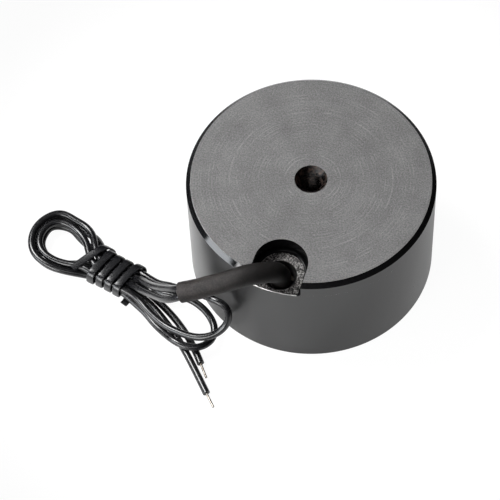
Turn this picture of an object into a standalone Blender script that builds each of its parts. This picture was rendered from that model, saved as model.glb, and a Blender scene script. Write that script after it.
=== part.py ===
"""Round holding electromagnet with a hank of two tied leads.

The magnet stands on its pole face, as it stands on a table with its fixing hole up. The origin is
the middle of the pole face, +Z runs up through the fixing hole, and the cable slot opens towards -Y.
Lengths are in metres.
"""
from math import atan2, cos, pi, radians, sin

import bmesh
import bpy
import numpy as np
from mathutils import Vector

MM = 0.001
ROUND_STEPS = 96
RING_STEPS = 64
CABLE_HOLE_STEPS = 48
SLOT_END_STEPS = 24
PEG_STEPS = 12
SPLICE_STEPS = 16
SLEEVE_STEPS = 16

# Clearances between pieces that touch or nearly touch on the real magnet
SEAT_GAP = 0.3 * MM
FIT_GAP = 0.4 * MM
STRIP_GAP = 0.12 * MM

# Steel pot with its core
BODY_RADIUS = 25.0 * MM
BODY_HEIGHT = 27.0 * MM
BACK_CHAMFER = 0.88 * MM
POLE_CHAMFER = 0.4 * MM
SIDE_WALL = 3.5 * MM
BACK_THICKNESS = 7.0 * MM
CORE_SHARE = 0.42
MOUTH_CHAMFER = 0.3 * MM

# Blind fixing hole, drilled for an M5 thread
TAP_DRILL_RADIUS = 2.1 * MM
FIXING_HOLE_DEPTH = 10.0 * MM
DRILL_POINT_SLOPE = 0.6
COUNTERSINK_RADIUS = 3.2 * MM

# Slot in the back face, open at the rim, and the cable hole in its floor
SLOT_HALF_WIDTH = 5.25 * MM
SLOT_END_FROM_RIM = 4.7 * MM
SLOT_DEPTH = 3.7 * MM
SLOT_FOOT_RADIUS = 0.7 * MM
CABLE_HOLE_RADIUS = 3.3 * MM
CABLE_HOLE_FROM_RIM = 4.0 * MM
CABLE_HOLE_BREAKTHROUGH = 0.3 * MM

# Bobbin in the coil chamber
BOBBIN_WALL = 1.1 * MM
FLANGE_THICKNESS = 1.0 * MM
FLANGE_EDGE_RADIUS = 0.25 * MM
LEAD_SPACE = 2.5 * MM
SPLICE_FROM_WALL = 2.51 * MM
RESIN_THICKNESS = 1.9 * MM
RESIN_RECESS = 0.1 * MM
PEG_RADIUS = 1.3 * MM
PEG_ANGLES = (30.0, 90.0, 150.0)
NOTCH_WIDTH = 2.4 * MM
NOTCH_DEPTH = 3.4 * MM
NOTCH_FROM_HOLE = 14.59 * MM

# Winding and its wrap
TAPE_RECESS = 0.3 * MM
TAPE_THICKNESS = 0.3 * MM
WINDING_WIRE = 0.4 * MM

# Leads, their splices and the sleeve over both
LEAD_DIAMETER = 1.5 * MM
CONDUCTOR_DIAMETER = 0.5 * MM
BARE_LENGTH = 3.2 * MM
LEAD_POINTS = 81
CLOSER_IN_BENDS = 4.0
ROUTE_STEPS = 6000
SPLICE_WALL = 0.15 * MM
SPLICE_BORE_GAP = 0.12 * MM
SPLICE_LENGTH = 7.0 * MM
SPLICE_OVERLAP = 2.2 * MM
WIRE_STEPS = 22
SLEEVE_DIAMETER = 4.2 * MM
SLEEVE_WALL = 0.35 * MM
SLEEVE_PLAY = 0.19 * MM
SLEEVE_POINTS = 25
POINTS_IN_SLEEVE = 13

# Flat strip tied round the hank
STRIP_WIDTH = 1.6 * MM
STRIP_THICKNESS = 0.35 * MM
STRIP_PITCH = 2.1 * MM
STRIP_TURNS = 4
STRIP_STEPS = 28
STRIP_END_STEPS = 40
STRIP_CORNER_RADIUS = 1.14 * MM

# The hank inside the tie, in millimetres and degrees as the routes below: its middle, measured from the axis
# of the cable hole, its heading, the distance between strands, the heights of their two layers, where the
# strip's first turn begins along the hank, how much looser its first and last turns are, and how far its top
# and its sides bow out
TIE_PLACE = (-37.2, 2.6)
TIE_HEADING = -14.5
LANE = 1.68
LOW_LAYER = 1.3
TOP_LAYER = 3.0
STRIP_FIRST = 4.5
STRIP_END_SLACK = 0.35
STRIP_TOP_BOW = 0.3
STRIP_SIDE_BOW = 0.15

# Route of the sleeve, from the bottom of the cable hole over the rim of the slot, in millimetres from the
# axis of the cable hole and from the back face
SLEEVE_ROUTE = [
    (0.1, -0.2, -5.7), (0.2, -0.4, -3.4), (-0.4, -1.3, -0.8), (-3.1, -3.5, 1.1), (-6.2, -5.5, 1.4),
    (-9.0, -6.8, 0.3), (-11.7, -7.7, -1.0), (-14.5, -8.6, -2.3), (-17.4, -9.4, -3.6)]

# Routes of the two leads, in millimetres. Inside the chamber a point is a distance along it from the cable
# hole, in from its wall and down from its roof. Outside it is measured from the axis of the cable hole and up
# from the table, where in the fall to the hank the height is a share of the whole fall. Each lead goes to the
# tie, round the left loop on top, back through the tie, round its right loop, through the tie once more,
# round the left loop underneath, and out through the tie to its end.
LEAD_1_INSIDE = [
    (7.819, 2.513, 1.25), (5.473, 2.228, 1.3), (3.417, 1.804, 1.2), (1.802, 1.12, 0.4)]
LEAD_1_FALL = [
    (-20.6, -7.7, 0.858), (-23.96, -5.41, 0.627), (-27.1, -2.59, 0.382), (-29.79, 0.05, 0.186),
    (-31.69, 1.94, 0.034)]
LEAD_1_HANK = [
    (-32.9, 2.4, 3.05), (-36.5, 3.3, 3.0), (-40.3, 4.3, 3.0), (-42.40, 6.41, 3.2), (-44.30, 9.69, 2.8),
    (-46.78, 11.65, 2.5), (-49.07, 12.39, 2.5), (-52.39, 13.08, 2.5), (-54.98, 11.46, 2.5),
    (-56.45, 8.39, 2.5), (-56.23, 4.97, 2.5), (-54.29, 2.09, 2.5), (-50.84, 0.48, 2.5),
    (-47.93, 0.17, 2.3), (-45.48, 0.46, 1.95), (-43.4, 0.88, 1.5), (-41.1, 1.0, 1.3), (-37.3, 0.0, 1.3),
    (-33.8, -0.9, 1.3), (-31.68, -1.91, 1.1), (-28.47, -3.58, 0.8), (-25.59, -5.63, 0.8),
    (-22.36, -7.77, 1.6), (-19.5, -9.31, 2.5), (-16.99, -9.7, 2.6), (-14.82, -9.16, 2.6),
    (-13.34, -7.61, 2.4), (-12.84, -5.7, 2.2), (-13.33, -3.59, 2.3), (-14.73, -1.85, 2.6),
    (-16.58, -0.6, 3.0), (-19.39, 0.47, 3.2), (-22.49, 0.77, 3.1), (-25.53, 0.81, 2.6),
    (-27.91, 1.71, 2.0), (-30.67, 3.37, 1.5), (-32.5, 4.0, 1.3), (-36.1, 4.9, 1.3), (-39.9, 5.9, 1.3),
    (-42.21, 6.58, 1.2), (-44.75, 8.04, 0.8), (-47.33, 9.55, 0.8), (-49.33, 10.8, 0.8),
    (-51.87, 11.06, 0.8), (-53.88, 10.21, 0.8), (-54.62, 8.2, 0.8), (-54.4, 5.86, 0.8),
    (-52.85, 3.77, 0.8), (-50.0, 2.7, 0.8), (-46.99, 2.92, 0.8), (-44.53, 3.85, 0.8), (-42.39, 4.43, 1.2),
    (-40.3, 4.3, 1.3), (-36.5, 3.3, 1.3), (-32.9, 2.4, 1.3), (-29.38, 1.01, 0.9), (-27.1, -0.13, 0.8),
    (-22.5, -2.92, 0.8), (-18.34, -6.33, 0.8), (-16.76, -7.92, 0.8), (-15.11, -9.8, 0.8),
    (-13.59, -11.75, 0.8)]
LEAD_2_INSIDE = [
    (-7.819, 2.513, 1.25), (-5.474, 2.324, 1.3), (-3.316, 1.821, 1.2), (-1.702, 1.029, 0.4)]
LEAD_2_FALL = [
    (-20.0, -9.6, 0.824), (-23.35, -7.24, 0.598), (-26.72, -4.3, 0.363), (-29.99, -1.55, 0.157),
    (-32.1, 0.27, 0.034)]
LEAD_2_HANK = [
    (-33.3, 0.7, 3.05), (-36.9, 1.7, 3.0), (-40.7, 2.6, 3.0), (-42.98, 4.50, 3.0), (-44.90, 7.48, 2.8),
    (-47.17, 9.63, 2.5), (-49.39, 10.76, 2.5), (-51.84, 11.09, 2.5), (-53.82, 9.94, 2.5),
    (-54.8, 7.87, 2.5), (-54.65, 5.46, 2.5), (-53.19, 3.33, 2.5), (-50.37, 2.05, 2.5),
    (-47.58, 1.77, 2.6), (-45.28, 1.86, 2.8), (-43.38, 1.65, 3.0), (-41.1, 1.0, 3.0), (-37.3, 0.0, 3.0),
    (-33.8, -0.9, 3.0), (-31.01, -1.66, 2.6), (-28.08, -3.53, 2.5), (-25.19, -5.27, 2.5),
    (-22.45, -6.51, 2.7), (-19.91, -7.31, 3.2), (-17.44, -7.85, 3.8), (-15.04, -7.98, 4.5),
    (-12.72, -7.44, 5.4), (-10.76, -6.33, 6.8), (-9.75, -5.11, 8.7), (-9.8, -4.19, 10.5),
    (-10.86, -3.46, 11.8), (-12.94, -2.96, 12.1), (-15.84, -1.68, 10.5), (-19.33, -0.23, 8.1),
    (-22.42, 0.84, 6.2), (-24.81, 1.41, 5.2), (-27.13, 1.83, 4.3), (-30.51, 3.31, 3.3), (-32.5, 4.0, 3.0),
    (-36.1, 4.9, 3.0), (-39.9, 5.9, 3.0), (-41.74, 7.86, 2.4), (-44.17, 10.29, 1.0), (-46.9, 11.35, 0.8),
    (-48.95, 12.51, 0.8), (-52.22, 12.97, 0.8), (-54.96, 11.5, 0.8), (-56.31, 8.56, 0.8),
    (-55.96, 5.32, 0.8), (-53.9, 2.5, 0.8), (-50.4, 1.1, 0.8), (-47.36, 1.16, 0.8), (-44.86, 1.94, 0.8),
    (-42.91, 2.67, 1.15), (-40.7, 2.6, 1.3), (-36.9, 1.7, 1.3), (-33.3, 0.7, 1.3), (-29.97, -0.53, 0.9),
    (-27.1, -2.0, 0.8), (-24.58, -3.78, 0.8), (-19.82, -7.68, 0.8), (-15.53, -12.09, 0.8),
    (-13.38, -14.47, 0.8), (-10.34, -17.9, 0.8)]

# The strip's two ends, the first with half a turn, as distance along the hank, distance across it towards the
# viewer, and height (mm)
STRIP_START = [
    (5.1, 4.35, 0.4), (5.15, 3.2, 0.25), (4.7, 1.6, 0.2), (4.5, -0.8, 0.2), (4.5, -2.7, 0.25),
    (4.55, -3.9, 0.8), (4.55, -4.25, 2.0), (4.4, -3.9, 3.4), (4.0, -2.6, 4.3)]
STRIP_END = [
    (-3.9, -2.8, 0.25), (-3.6, -4.4, 0.7), (-3.55, -4.8, 1.5), (-3.7, -4.5, 2.6), (-4.1, -3.9, 3.6),
    (-4.8, -2.5, 4.3), (-5.6, -0.7, 4.25), (-6.3, 1.1, 4.05), (-6.8, 2.5, 3.95), (-7.3, 4.2, 3.85)]

# Sizes that follow from the ones above
CORE_RADIUS = CORE_SHARE * BODY_RADIUS
CHAMBER_RADIUS = BODY_RADIUS - SIDE_WALL
CHAMBER_ROOF = BODY_HEIGHT - BACK_THICKNESS
SLOT_FLOOR = BODY_HEIGHT - SLOT_DEPTH
SLOT_END_CENTRE = BODY_RADIUS - SLOT_END_FROM_RIM
CABLE_HOLE_OFFSET = BODY_RADIUS - CABLE_HOLE_FROM_RIM
RESIN_TOP = RESIN_RECESS + RESIN_THICKNESS
BOBBIN_BOTTOM = RESIN_TOP + SEAT_GAP
BOBBIN_TOP = CHAMBER_ROOF - LEAD_SPACE
BOBBIN_BORE = CORE_RADIUS + FIT_GAP
BOBBIN_TUBE = BOBBIN_BORE + BOBBIN_WALL
FLANGE_RADIUS = CHAMBER_RADIUS - FIT_GAP
WINDING_INNER = BOBBIN_TUBE + SEAT_GAP
WRAP_INNER = FLANGE_RADIUS - TAPE_RECESS - TAPE_THICKNESS
WINDING_OUTER = WRAP_INNER - SEAT_GAP
WINDING_BOTTOM = BOBBIN_BOTTOM + FLANGE_THICKNESS + SEAT_GAP
WINDING_TOP = BOBBIN_TOP - FLANGE_THICKNESS - SEAT_GAP
NOTCH_ANGLE = NOTCH_FROM_HOLE / (CHAMBER_RADIUS - SPLICE_FROM_WALL)
LEAD_RADIUS = LEAD_DIAMETER / 2
SPLICE_BORE = LEAD_RADIUS + SPLICE_BORE_GAP
LEAD_SPREAD = SLEEVE_DIAMETER / 2 - SLEEVE_WALL - LEAD_RADIUS - SLEEVE_PLAY


def clear_scene():
    """Remove whatever the file starts with."""
    for obj in list(bpy.data.objects):
        bpy.data.objects.remove(obj, do_unlink=True)


def new_collection(name):
    """A collection linked to the scene."""
    collection = bpy.data.collections.new(name)
    bpy.context.scene.collection.children.link(collection)
    return collection


def material(name, colour, roughness, metallic=0.0):
    """A Principled material of one colour."""
    made = bpy.data.materials.new(name)
    made.use_nodes = True
    shader = made.node_tree.nodes["Principled BSDF"]
    shader.inputs["Base Color"].default_value = (*colour, 1.0)
    shader.inputs["Roughness"].default_value = roughness
    shader.inputs["Metallic"].default_value = metallic
    return made


def place(name, data, look, collection):
    """An object that shows the given data in the given material."""
    obj = bpy.data.objects.new(name, data)
    if look is not None:
        data.materials.append(look)
    collection.objects.link(obj)
    return obj


def turned(name, profile, look, collection, steps=ROUND_STEPS, closed=False):
    """A profile of (radius, height) points turned about Z. A closed profile makes a ring."""
    mesh = bpy.data.meshes.new(name)
    count = len(profile)
    edges = [(i, i + 1) for i in range(count - 1)]
    if closed:
        edges.append((count - 1, 0))
    mesh.from_pydata([(radius, 0.0, height) for radius, height in profile], edges, [])
    obj = place(name, mesh, look, collection)
    screw = obj.modifiers.new("turn", "SCREW")
    screw.axis = "Z"
    screw.angle = 2 * pi
    screw.steps = steps
    screw.render_steps = steps
    screw.use_merge_vertices = True
    screw.merge_threshold = 0.00001
    screw.use_smooth_shade = False
    return obj


def as_cutter(obj):
    """Mark an object as a guide that is not part of the model."""
    obj.hide_render = True
    obj.display_type = "WIRE"
    return obj


def boolean(target, tool, operation="DIFFERENCE"):
    """Cut a tool out of the target, or join it on."""
    modifier = target.modifiers.new(operation.lower(), "BOOLEAN")
    modifier.operation = operation
    modifier.solver = "EXACT"
    modifier.object = as_cutter(tool)


def smooth(points, count, closer_in_bends=0.0):
    """A natural cubic through the points, read at even steps, or at closer ones where it bends.

    A step is counted as its length plus closer_in_bends for each radian that it turns.
    """
    knots = np.array(points, dtype=float)
    spans = np.linalg.norm(np.diff(knots, axis=0), axis=1) ** 0.5
    places = np.concatenate(([0.0], np.cumsum(spans)))
    system = np.eye(len(knots))
    target = np.zeros_like(knots)
    for i in range(1, len(knots) - 1):
        system[i, i - 1:i + 2] = spans[i - 1], 2 * (spans[i - 1] + spans[i]), spans[i]
        ahead = (knots[i + 1] - knots[i]) / spans[i]
        behind = (knots[i] - knots[i - 1]) / spans[i - 1]
        target[i] = 6 * (ahead - behind)
    bend = np.linalg.solve(system, target)
    fine = np.linspace(0.0, places[-1], ROUTE_STEPS)
    k = np.clip(np.searchsorted(places, fine, side="right") - 1, 0, len(spans) - 1)
    u = ((places[k + 1] - fine) / spans[k])[:, None]
    v = 1 - u
    width = spans[k][:, None] ** 2 / 6
    curve = u * knots[k] + v * knots[k + 1] + ((u ** 3 - u) * bend[k] + (v ** 3 - v) * bend[k + 1]) * width
    chords = np.diff(curve, axis=0)
    lengths = np.linalg.norm(chords, axis=1)
    headings = chords / lengths[:, None]
    turns = np.concatenate(([0.0], np.linalg.norm(np.diff(headings, axis=0), axis=1)))
    travelled = np.concatenate(([0.0], np.cumsum(lengths + closer_in_bends * turns)))
    even = np.linspace(0.0, travelled[-1], count)
    return np.stack([np.interp(even, travelled, curve[:, axis]) for axis in range(3)], axis=1)


def in_chamber(points):
    """Points given along the chamber from the cable hole, in from its wall and down from its roof."""
    placed = []
    for along, inwards, down in points:
        radius = CHAMBER_RADIUS / MM - inwards
        angle = along / radius
        placed.append((radius * sin(angle), -radius * cos(angle), CHAMBER_ROOF / MM - down))
    return placed


def from_cable_hole(points, level=0.0):
    """Points given from the axis of the cable hole and up from a level."""
    return [(x, y - CABLE_HOLE_OFFSET / MM, z + level / MM) for x, y, z in points]


def falling(points):
    """Points given from the axis of the cable hole, with the height as a share of the fall to the hank."""
    fall = BODY_HEIGHT / MM + SLEEVE_ROUTE[-1][2] - TOP_LAYER
    return from_cable_hole([(x, y, TOP_LAYER + share * fall) for x, y, share in points])


def beside(route, distance):
    """A line that keeps to one side of a route, in a plane that leans back from the viewer."""
    lean = (0.16, -0.53, 0.83)
    across = np.cross(np.gradient(route, axis=0), lean)
    across /= np.linalg.norm(across, axis=1)[:, None]
    return route + distance * across


def tube(name, route, radius, look, collection, resolution=2):
    """A round solid along a route of points in metres."""
    curve = bpy.data.curves.new(name, "CURVE")
    curve.dimensions = "3D"
    curve.bevel_depth = radius
    curve.bevel_resolution = resolution
    curve.use_fill_caps = True
    spline = curve.splines.new("POLY")
    spline.points.add(len(route) - 1)
    for point, centre in zip(spline.points, route):
        point.co = (*centre, 1.0)
    return place(name, curve, look, collection)


def build_housing(look, collection, cutters):
    """The pot with its core: one turned profile, with the slot and the cable hole cut into its back."""
    hole_bottom = BODY_HEIGHT - FIXING_HOLE_DEPTH
    countersink_depth = COUNTERSINK_RADIUS - TAP_DRILL_RADIUS
    profile = [
        (0.0, hole_bottom - TAP_DRILL_RADIUS * DRILL_POINT_SLOPE),
        (TAP_DRILL_RADIUS, hole_bottom),
        (TAP_DRILL_RADIUS, BODY_HEIGHT - countersink_depth),
        (COUNTERSINK_RADIUS, BODY_HEIGHT),
        (BODY_RADIUS - BACK_CHAMFER, BODY_HEIGHT),
        (BODY_RADIUS, BODY_HEIGHT - BACK_CHAMFER),
        (BODY_RADIUS, POLE_CHAMFER),
        (BODY_RADIUS - POLE_CHAMFER, 0.0),
        (CHAMBER_RADIUS + MOUTH_CHAMFER, 0.0),
        (CHAMBER_RADIUS, MOUTH_CHAMFER),
        (CHAMBER_RADIUS, CHAMBER_ROOF),
        (CORE_RADIUS, CHAMBER_ROOF),
        (CORE_RADIUS, MOUTH_CHAMFER),
        (CORE_RADIUS - MOUTH_CHAMFER, 0.0),
        (0.0, 0.0)]
    housing = turned("housing", profile, look, collection)
    boolean(housing, slot_cutter(cutters))
    boolean(housing, cable_hole_cutter(cutters))
    return housing


def slot_cutter(cutters):
    """Outline of the slot with a round end, extruded, with the foot of its wall rounded."""
    overrun = BODY_RADIUS + 2 * SLOT_HALF_WIDTH
    height = 3 * SLOT_DEPTH
    curve = bpy.data.curves.new("slot_cutter", "CURVE")
    curve.dimensions = "2D"
    curve.fill_mode = "BOTH"
    curve.extrude = height / 2 - SLOT_FOOT_RADIUS
    curve.bevel_depth = SLOT_FOOT_RADIUS
    curve.bevel_resolution = 2
    curve.offset = -SLOT_FOOT_RADIUS
    outline = [(SLOT_HALF_WIDTH, -overrun)]
    for i in range(SLOT_END_STEPS + 1):
        angle = pi * i / SLOT_END_STEPS
        outline.append((SLOT_HALF_WIDTH * cos(angle), -SLOT_END_CENTRE + SLOT_HALF_WIDTH * sin(angle)))
    outline.append((-SLOT_HALF_WIDTH, -overrun))
    spline = curve.splines.new("POLY")
    spline.use_cyclic_u = True
    spline.points.add(len(outline) - 1)
    for point, (x, y) in zip(spline.points, outline):
        point.co = (x, y, 0.0, 1.0)
    return curve_to_mesh(curve, (0.0, 0.0, SLOT_FLOOR + height / 2), cutters)


def curve_to_mesh(curve, location, collection):
    """The solid that a curve makes, as a closed mesh object in the curve's place."""
    source = bpy.data.objects.new(curve.name, curve)
    collection.objects.link(source)
    source.location = location
    bpy.context.view_layer.update()
    evaluated = source.evaluated_get(bpy.context.evaluated_depsgraph_get())
    mesh = bpy.data.meshes.new_from_object(evaluated)
    shape = bmesh.new()
    shape.from_mesh(mesh)
    bmesh.ops.remove_doubles(shape, verts=shape.verts, dist=0.000001)
    shape.to_mesh(mesh)
    shape.free()
    made = bpy.data.objects.new(curve.name, mesh)
    made.matrix_world = source.matrix_world.copy()
    collection.objects.link(made)
    bpy.data.objects.remove(source, do_unlink=True)
    return made


def cylinder(name, radius, bottom, top, x, y, look, collection, steps):
    """An upright cylinder between two heights."""
    shape = bmesh.new()
    bmesh.ops.create_cone(
        shape, cap_ends=True, segments=steps, radius1=radius, radius2=radius, depth=top - bottom)
    mesh = bpy.data.meshes.new(name)
    shape.to_mesh(mesh)
    shape.free()
    obj = place(name, mesh, look, collection)
    obj.location = (x, y, (bottom + top) / 2)
    return obj


def cable_hole_cutter(cutters):
    """Drill that goes down from the slot floor until it breaks into the coil chamber."""
    bottom = CHAMBER_ROOF - CABLE_HOLE_BREAKTHROUGH
    top = BODY_HEIGHT + SLOT_DEPTH
    return cylinder(
        "cable_hole_cutter", CABLE_HOLE_RADIUS, bottom, top, 0.0, -CABLE_HOLE_OFFSET, None, cutters,
        CABLE_HOLE_STEPS)


def build_bobbin(look, collection, cutters):
    """Spool with two flanges, two wire notches and pegs that hold it off the chamber's roof."""
    edge = FLANGE_EDGE_RADIUS
    low_flange = BOBBIN_BOTTOM + FLANGE_THICKNESS
    high_flange = BOBBIN_TOP - FLANGE_THICKNESS
    profile = [
        (BOBBIN_BORE, BOBBIN_TOP),
        (FLANGE_RADIUS - edge, BOBBIN_TOP),
        (FLANGE_RADIUS, BOBBIN_TOP - edge),
        (FLANGE_RADIUS, high_flange + edge),
        (FLANGE_RADIUS - edge, high_flange),
        (BOBBIN_TUBE, high_flange),
        (BOBBIN_TUBE, low_flange),
        (FLANGE_RADIUS - edge, low_flange),
        (FLANGE_RADIUS, low_flange - edge),
        (FLANGE_RADIUS, BOBBIN_BOTTOM + edge),
        (FLANGE_RADIUS - edge, BOBBIN_BOTTOM),
        (BOBBIN_BORE, BOBBIN_BOTTOM)]
    bobbin = turned("coil_bobbin", profile, look, collection, RING_STEPS, closed=True)
    peg_circle = (BOBBIN_BORE + FLANGE_RADIUS) / 2
    for number, angle in enumerate(PEG_ANGLES, 1):
        x = peg_circle * cos(radians(angle))
        y = peg_circle * sin(radians(angle))
        foot = BOBBIN_TOP - FLANGE_THICKNESS / 2
        peg = cylinder(
            f"peg_{number}", PEG_RADIUS, foot, CHAMBER_ROOF - SEAT_GAP, x, y, None, cutters, PEG_STEPS)
        boolean(bobbin, peg, "UNION")
    for side in (1, -1):
        angle = side * NOTCH_ANGLE - pi / 2
        notch = bpy.data.meshes.new("notch_cutter")
        shape = bmesh.new()
        bmesh.ops.create_cube(shape, size=1.0)
        bmesh.ops.scale(shape, vec=(2 * NOTCH_DEPTH, NOTCH_WIDTH, 2 * FLANGE_THICKNESS), verts=shape.verts)
        shape.to_mesh(notch)
        shape.free()
        cutter = place("notch_cutter", notch, None, cutters)
        cutter.location = (
            FLANGE_RADIUS * cos(angle), FLANGE_RADIUS * sin(angle), BOBBIN_TOP - FLANGE_THICKNESS / 2)
        cutter.rotation_euler = (0.0, 0.0, angle)
        boolean(bobbin, cutter)
    return bobbin


def ring(name, inner, outer, bottom, top, look, collection, steps=RING_STEPS):
    """A plain ring of rectangular section."""
    profile = [(inner, top), (outer, top), (outer, bottom), (inner, bottom)]
    return turned(name, profile, look, collection, steps, closed=True)


def build_coil(copper, tape, resin, collection):
    """The winding, its wrap, and the resin that closes the chamber."""
    ring("coil_winding", WINDING_INNER, WINDING_OUTER, WINDING_BOTTOM, WINDING_TOP, copper, collection)
    ring("winding_tape", WRAP_INNER, WRAP_INNER + TAPE_THICKNESS, WINDING_BOTTOM, WINDING_TOP, tape, collection)
    ring("potting_resin", CORE_RADIUS + SEAT_GAP, CHAMBER_RADIUS - SEAT_GAP, RESIN_RECESS, RESIN_TOP,
         resin, collection, ROUND_STEPS)


def build_splice(number, inside, side, look, wire_look, collection):
    """Insulating tube over a lead's inner end, and the winding's end that runs into it."""
    end, before = [Vector(point) * MM for point in in_chamber(inside[:2])]
    along = end - before
    along.z = 0.0
    along.normalize()
    half = SPLICE_LENGTH / 2
    middle = end + along * (half - SPLICE_OVERLAP)
    mouth = middle + along * half
    splice = ring(f"splice_sleeve_{number}", SPLICE_BORE, SPLICE_BORE + SPLICE_WALL, -half, half, look,
                  collection, SPLICE_STEPS)
    splice.location = middle
    splice.rotation_euler = (0.0, pi / 2, atan2(along.y, along.x))
    angle = side * NOTCH_ANGLE - pi / 2
    notch_radius = FLANGE_RADIUS - NOTCH_DEPTH / 2
    foot = Vector((notch_radius * cos(angle), notch_radius * sin(angle), WINDING_TOP + SEAT_GAP))
    notch_top = Vector((foot.x, foot.y, BOBBIN_TOP))
    bend = notch_top.lerp(mouth, 0.25)
    bend.z = end.z
    route = [foot, notch_top, bend, mouth + along * MM, mouth - along * MM, end + along * SEAT_GAP]
    tube(f"winding_end_{number}", smooth(route, WIRE_STEPS), WINDING_WIRE / 2, wire_look, collection)


def sleeve_line(count):
    """The sleeve's middle line, in millimetres."""
    return smooth(from_cable_hole(SLEEVE_ROUTE, BODY_HEIGHT), count)


def build_lead(number, inside, fall, hank, side, look, bare_look, collection):
    """A lead from its splice, through the sleeve and round the hank, and its bare conductor."""
    in_sleeve = beside(sleeve_line(POINTS_IN_SLEEVE), side * LEAD_SPREAD / MM)
    stations = in_chamber(inside) + [tuple(point) for point in in_sleeve] + falling(fall)
    stations += from_cable_hole(hank)
    route = smooth(stations, LEAD_POINTS, CLOSER_IN_BENDS) * MM
    tube(f"lead_{number}", route, LEAD_RADIUS, look, collection)
    end = Vector(route[-1])
    along = (end - Vector(route[-2])).normalized()
    start = end + along * SEAT_GAP
    tube(f"lead_{number}_conductor", [start, start + along * BARE_LENGTH], CONDUCTOR_DIAMETER / 2,
         bare_look, collection)


def build_sleeve(look, collection):
    """Heat-shrink tube: an open tube along its route, thickened inwards."""
    route = sleeve_line(SLEEVE_POINTS) * MM
    tangents = np.gradient(route, axis=0)
    tangents /= np.linalg.norm(tangents, axis=1)[:, None]
    vertices = []
    across = np.cross(tangents[0], (1.0, 0.0, 0.0))
    for centre, tangent in zip(route, tangents):
        across = across - tangent * np.dot(across, tangent)
        across /= np.linalg.norm(across)
        third = np.cross(tangent, across)
        for i in range(SLEEVE_STEPS):
            angle = 2 * pi * i / SLEEVE_STEPS
            vertices.append(centre + SLEEVE_DIAMETER / 2 * (cos(angle) * across + sin(angle) * third))
    faces = []
    for row in range(SLEEVE_POINTS - 1):
        low = row * SLEEVE_STEPS
        high = low + SLEEVE_STEPS
        for i in range(SLEEVE_STEPS):
            j = (i + 1) % SLEEVE_STEPS
            faces.append((low + i, low + j, high + j, high + i))
    mesh = bpy.data.meshes.new("heat_shrink_sleeve")
    mesh.from_pydata([tuple(v) for v in vertices], [], faces)
    sleeve = place("heat_shrink_sleeve", mesh, look, collection)
    wall = sleeve.modifiers.new("wall", "SOLIDIFY")
    wall.thickness = SLEEVE_WALL
    wall.offset = -1.0
    wall.use_even_offset = True
    return sleeve


def strip_section(turn):
    """Middle of the strip's thickness at a share of a turn: (across, height) on a rounded rectangle.

    Its top and its two sides bow out a little, as bent plastic does. A turn starts under the hank at the
    middle, runs away from the viewer, up, back over the top and down the near side. The first and the last
    turn are looser than the ones between.
    """
    wire = LEAD_RADIUS / MM
    play = (STRIP_GAP + STRIP_THICKNESS / 2) / MM
    slack = STRIP_END_SLACK * abs(2 * turn / STRIP_TURNS - 1) ** 4
    half_width = 1.5 * LANE + wire + play + slack
    half_height = (TOP_LAYER - LOW_LAYER + slack) / 2 + wire + play
    middle = (TOP_LAYER + LOW_LAYER + slack) / 2
    corner = STRIP_CORNER_RADIUS / MM
    flat = half_width - corner
    upright = half_height - corner
    quarter = pi / 2 * corner
    total = 4 * (flat + upright + quarter)
    distance = (turn % 1.0) * total
    legs = [(flat, "line"), (quarter, "corner"), (2 * upright, "line"), (quarter, "corner"),
            (2 * flat, "line"), (quarter, "corner"), (2 * upright, "line"), (quarter, "corner"), (flat, "line")]
    across, height = 0.0, -half_height
    heading = pi
    for length, kind in legs:
        step = min(distance, length)
        if kind == "line":
            across += step * cos(heading)
            height += step * sin(heading)
        else:
            swept = step / corner
            centre_across = across + corner * sin(heading)
            centre_height = height - corner * cos(heading)
            heading -= swept
            across = centre_across - corner * sin(heading)
            height = centre_height + corner * cos(heading)
        distance -= step
        if distance <= 1e-9:
            break
    side_bow = STRIP_SIDE_BOW * (1 - (height / half_height) ** 2)
    top_bow = STRIP_TOP_BOW * (1 - (across / half_width) ** 2) if height > 0 else 0.0
    return across * (1 + side_bow / half_width), middle + height + top_bow


def from_hank(along, across, height):
    """A place in the hank's own directions, as a place in the model (mm)."""
    heading = radians(TIE_HEADING)
    x = TIE_PLACE[0] + along * cos(heading) + across * sin(heading)
    y = TIE_PLACE[1] + along * sin(heading) - across * cos(heading)
    return from_cable_hole([(x, y, height)])[0]


def build_tie(look, collection):
    """The strip as a ribbon along its winding, thickened both ways."""
    pitch = STRIP_PITCH / MM
    stations = [from_hank(*point) for point in STRIP_START]
    steps = STRIP_TURNS * STRIP_STEPS
    for i in range(STRIP_STEPS // 2, steps + 1):
        turn = i / STRIP_STEPS
        across, height = strip_section(turn)
        stations.append(from_hank(STRIP_FIRST - pitch * turn, across, height))
    stations += [from_hank(*point) for point in STRIP_END]
    route = smooth(stations, steps + STRIP_END_STEPS)
    heading = radians(TIE_HEADING)
    axis = np.array((cos(heading), sin(heading), 0.0))
    tangents = np.gradient(route, axis=0)
    tangents /= np.linalg.norm(tangents, axis=1)[:, None]
    widths = axis - tangents * (tangents @ axis)[:, None]
    widths /= np.linalg.norm(widths, axis=1)[:, None]
    half = STRIP_WIDTH / 2
    vertices = []
    for centre, width in zip(route * MM, widths):
        vertices.append(tuple(centre - half * width))
        vertices.append(tuple(centre + half * width))
    faces = [(2 * i, 2 * i + 1, 2 * i + 3, 2 * i + 2) for i in range(len(route) - 1)]
    mesh = bpy.data.meshes.new("wire_tie")
    mesh.from_pydata(vertices, [], faces)
    tie = place("wire_tie", mesh, look, collection)
    body = tie.modifiers.new("thickness", "SOLIDIFY")
    body.thickness = STRIP_THICKNESS
    body.offset = 0.0
    return tie


def shade(obj):
    """Smooth the round faces of a mesh object and keep its edges crisp."""
    if obj.type == "MESH":
        obj.data.shade_smooth()
        obj.data.set_sharp_from_angle(angle=radians(30))


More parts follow.
